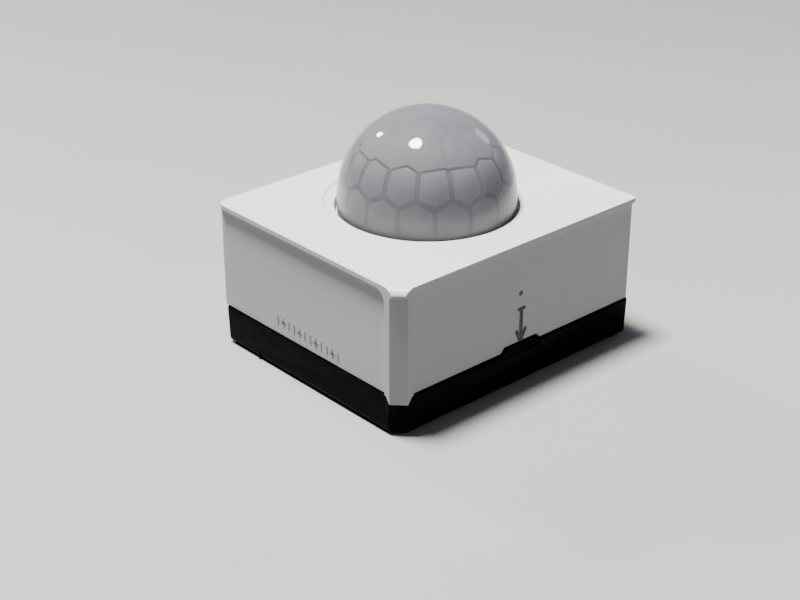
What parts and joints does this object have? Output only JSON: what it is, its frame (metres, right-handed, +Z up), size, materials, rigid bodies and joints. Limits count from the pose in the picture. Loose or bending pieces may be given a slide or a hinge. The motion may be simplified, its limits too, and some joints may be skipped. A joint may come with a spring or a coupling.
{
  "type": "motion sensor",
  "caption": "Battery motion sensor: rectangular white head with recessed sides and a faceted half-round lens, snapped over a black mounting tray with a pry tab.",
  "frame": {"origin": "middle of the footprint, on the surface that the sensor rests on", "axes": "+Z up through the lens, X along the longer side, the pry tab and indicator on the -Y side"},
  "size_m": [0.059, 0.05, 0.0459],
  "materials": {
    "white_plastic": "fine moulded texture, warm white",
    "lens_plastic": "glossy milky blue-grey polyethylene with lens facets inside",
    "inner_plastic": "plain black moulding",
    "clear_plastic": "clear acrylic",
    "board_laminate": "green solder mask",
    "screw_steel": "zinc-plated",
    "sensor_metal": "nickel-plated can",
    "filter_window": "dark coated silicon window",
    "chip_black": "moulded epoxy",
    "radio_laminate": "blue solder mask",
    "antenna_wire": "lacquered copper wire",
    "led_resin": "diffused resin",
    "button_red": "red moulded cap",
    "button_grey": "grey moulded stem",
    "battery_wrap": "plain shrink sleeve",
    "contact_metal": "nickel-plated spring steel",
    "black_plastic": "satin black moulding",
    "pad_foam": "foam tape"
  },
  "bodies": {
    "tray": {"base_tray": "black_plastic", "adhesive_pad": "pad_foam"},
    "head": {"cover": "white_plastic", "lens_dome": "lens_plastic", "lens_retainer": "inner_plastic", "light_pipe": "clear_plastic", "circuit_board": "board_laminate", "board_screw_1": "screw_steel", "board_screw_2": "screw_steel", "board_screw_3": "screw_steel", "board_screw_4": "screw_steel", "pir_spacer": "inner_plastic", "pir_sensor_can": "sensor_metal", "pir_sensor_window": "filter_window", "microcontroller": "chip_black", "radio_board": "radio_laminate", "radio_shield": "sensor_metal", "antenna_coil": "antenna_wire", "crystal": "sensor_metal", "capacitor": "sensor_metal", "chip_resistor_1": "chip_black", "chip_resistor_2": "chip_black", "chip_resistor_3": "chip_black", "chip_resistor_4": "chip_black", "status_led": "led_resin", "pairing_switch_body": "inner_plastic", "tamper_switch_body": "inner_plastic", "battery_holder": "inner_plastic", "battery_cell": "battery_wrap", "battery_contact_positive": "contact_metal", "battery_contact_negative": "contact_metal"},
    "pairing_button": {"pairing_switch_plunger": "button_red"},
    "tamper_button": {"tamper_switch_plunger": "button_grey"}
  },
  "joints": [
    {"name": "head_lift", "type": "slide", "parent": "tray", "child": "head", "axis": [0, 0, 1], "range_m": [0, 0.035]},
    {"name": "pairing_press", "type": "slide", "parent": "head", "child": "pairing_button", "axis": [0, 0, 1], "range_m": [0, 0.00025], "stiffness_N_per_m": 6000},
    {"name": "tamper_press", "type": "slide", "parent": "head", "child": "tamper_button", "axis": [0, 0, 1], "range_m": [0, 0.00025], "stiffness_N_per_m": 6000}
  ]
}
